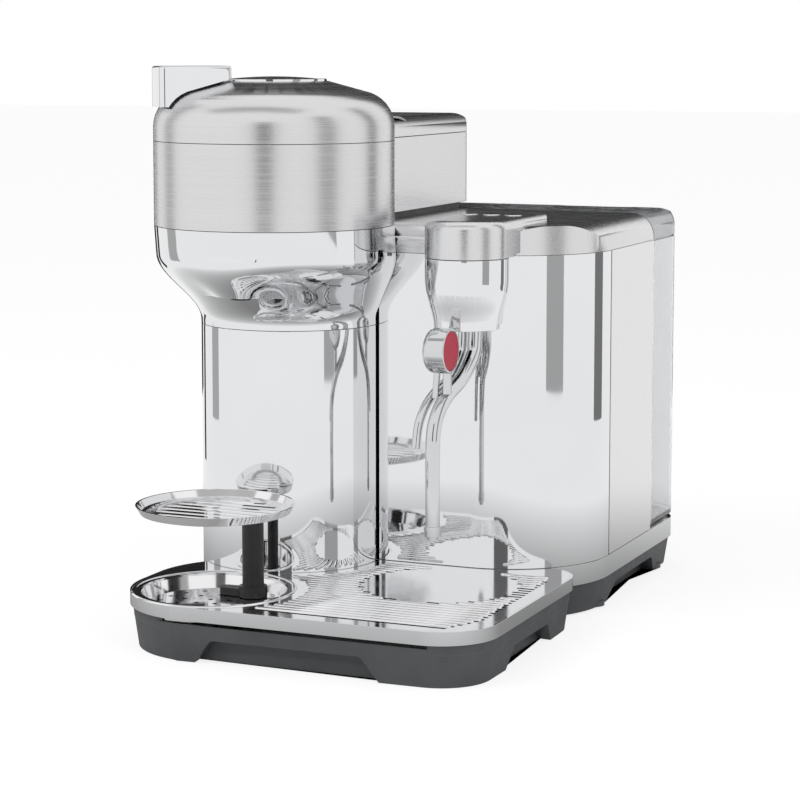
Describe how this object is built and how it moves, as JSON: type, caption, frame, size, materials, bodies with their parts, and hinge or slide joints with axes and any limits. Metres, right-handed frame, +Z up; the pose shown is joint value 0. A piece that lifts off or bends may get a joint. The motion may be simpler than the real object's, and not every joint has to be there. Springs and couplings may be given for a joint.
{
  "type": "pod coffee machine",
  "caption": "Counter-top pod coffee machine with a round brew head on a mirror column, a tilting steam wand, a drip tray with a cup stand, and a rear water tank.",
  "frame": {"origin": "centre of the footprint's box at the counter", "axes": "+X to the machine's right, +Y to the back, +Z up; the drip tray is at the front, towards -Y"},
  "size_m": [0.26, 0.39, 0.3415],
  "materials": {
    "dark_plastic": "fine matt moulded texture",
    "black_plastic": "matt",
    "rubber": "matt",
    "chrome": "mirror polished",
    "brushed_steel": "brushed",
    "plain_steel": "plain sheet",
    "grate_steel": "polished stainless",
    "tank_clear": "clear smoky plastic",
    "lid_smoke": "translucent grey plastic",
    "aluminium": "cast",
    "motor_steel": "zinc plated",
    "cream_plastic": "moulded",
    "green_board": "circuit board",
    "hose_clear": "translucent silicone",
    "hose_white": "fluoropolymer tube",
    "red_enamel": "glossy red",
    "red_seal": "silicone",
    "belt_rubber": "ribbed"
  },
  "bodies": {
    "body": {"base_moulding": "dark_plastic", "base_band": "chrome", "deck_plate": "plain_steel", "foot_pads": "rubber", "bulkhead": "plain_steel", "front_panel": "chrome", "side_panel_right": "brushed_steel", "side_panel_left": "brushed_steel", "rear_panel": "brushed_steel", "top_cover": "brushed_steel", "column": "chrome", "bell": "chrome", "head_band": "brushed_steel", "head_floor": "black_plastic", "head_deck": "black_plastic", "coffee_nozzle": "black_plastic", "bridge_foot": "black_plastic", "bridge_shell": "brushed_steel", "bridge_cover": "brushed_steel", "spin_motor": "motor_steel", "drive_belt": "belt_rubber", "cup_bearing": "plain_steel", "pod_chute": "black_plastic", "steam_cover": "brushed_steel", "steam_cup": "chrome", "steam_frame": "black_plastic", "pivot_pins": "plain_steel", "circuit_boards": "green_board", "tank_dock": "black_plastic", "pump": "cream_plastic", "pump_cradle": "black_plastic", "flow_meter": "black_plastic", "coffee_heater": "aluminium", "steam_heater": "aluminium", "cord_inlet": "black_plastic", "water_hoses": "hose_clear", "hot_hoses": "hose_white", "cover_screws": "plain_steel"},
    "tray": {"tray_base": "dark_plastic", "tray_band": "chrome", "drip_grate": "grate_steel"},
    "cup_stand": {"stand_post": "black_plastic", "stand_plate": "chrome"},
    "tank": {"water_tank": "tank_clear"},
    "tank_top": {"tank_lid": "lid_smoke"},
    "valve": {"tank_valve": "red_seal"},
    "bin": {"pod_bin": "dark_plastic"},
    "cup": {"pod_cup": "dark_plastic"},
    "pulley": {"motor_pulley": "plain_steel"},
    "lid": {"lid_dome": "brushed_steel", "lid_carrier": "black_plastic", "pierce_plate": "plain_steel"},
    "lever": {"lock_lever": "chrome"},
    "start_button": {"brew_button": "brushed_steel"},
    "wand": {"steam_wand": "chrome", "wand_grip": "chrome", "grip_cap": "red_enamel"},
    "key_steam": {"steam_key": "chrome"},
    "key_milk": {"milk_key": "chrome"},
    "key_heat": {"heat_key": "chrome"}
  },
  "joints": [
    {"name": "tray_slide", "type": "slide", "parent": "body", "child": "tray", "axis": [0, -1, 0], "range_m": [0, 0.12]},
    {"name": "stand_lift", "type": "slide", "parent": "tray", "child": "cup_stand", "axis": [0, 0, 1], "range_m": [0, 0.09]},
    {"name": "tank_lift", "type": "slide", "parent": "body", "child": "tank", "axis": [0, 0, 1], "range_m": [0, 0.2]},
    {"name": "tank_lid_lift", "type": "slide", "parent": "tank", "child": "tank_top", "axis": [0, 0, 1], "range_m": [0, 0.08]},
    {"name": "valve_open", "type": "slide", "parent": "tank", "child": "valve", "axis": [0, 0, 1], "range_m": [0, 0.003], "stiffness_N_per_m": 200},
    {"name": "bin_slide", "type": "slide", "parent": "body", "child": "bin", "axis": [0, 1, 0], "range_m": [0, 0.16]},
    {"name": "pod_spin", "type": "hinge", "parent": "body", "child": "cup", "pos_m": [-0.056, -0.061, 0.27], "axis": [0, 0, 1], "continuous": true},
    {"name": "motor_spin", "type": "hinge", "parent": "body", "child": "pulley", "pos_m": [-0.056, 0.048, 0.2567], "axis": [0, 0, 1], "continuous": true},
    {"name": "lid_hinge", "type": "hinge", "parent": "body", "child": "lid", "pos_m": [-0.056, 0.0225, 0.3003], "axis": [-1, 0, 0], "range_deg": [0, 35]},
    {"name": "lever_turn", "type": "hinge", "parent": "lid", "child": "lever", "pos_m": [-0.056, -0.061, 0.333], "axis": [0, 0, -1], "range_deg": [0, 40]},
    {"name": "start_press", "type": "slide", "parent": "lid", "child": "start_button", "axis": [0, 0, -1], "range_m": [0, 0.0012], "stiffness_N_per_m": 1500, "springref_m": -0.0015},
    {"name": "wand_tilt", "type": "hinge", "parent": "body", "child": "wand", "pos_m": [0.0665, -0.0487, 0.193], "axis": [-1, 0, 0], "range_deg": [0, 35]},
    {"name": "steam_press", "type": "slide", "parent": "body", "child": "key_steam", "axis": [0, 0, -1], "range_m": [0, 0.0008], "stiffness_N_per_m": 500, "springref_m": -0.001},
    {"name": "milk_press", "type": "slide", "parent": "body", "child": "key_milk", "axis": [0, 0, -1], "range_m": [0, 0.0008], "stiffness_N_per_m": 500, "springref_m": -0.001},
    {"name": "heat_press", "type": "slide", "parent": "body", "child": "key_heat", "axis": [0, 0, -1], "range_m": [0, 0.0008], "stiffness_N_per_m": 500, "springref_m": -0.001}
  ],
  "couplings": [
    {"joint": "motor_spin", "follows": "pod_spin", "ratio": 2.4444}
  ]
}
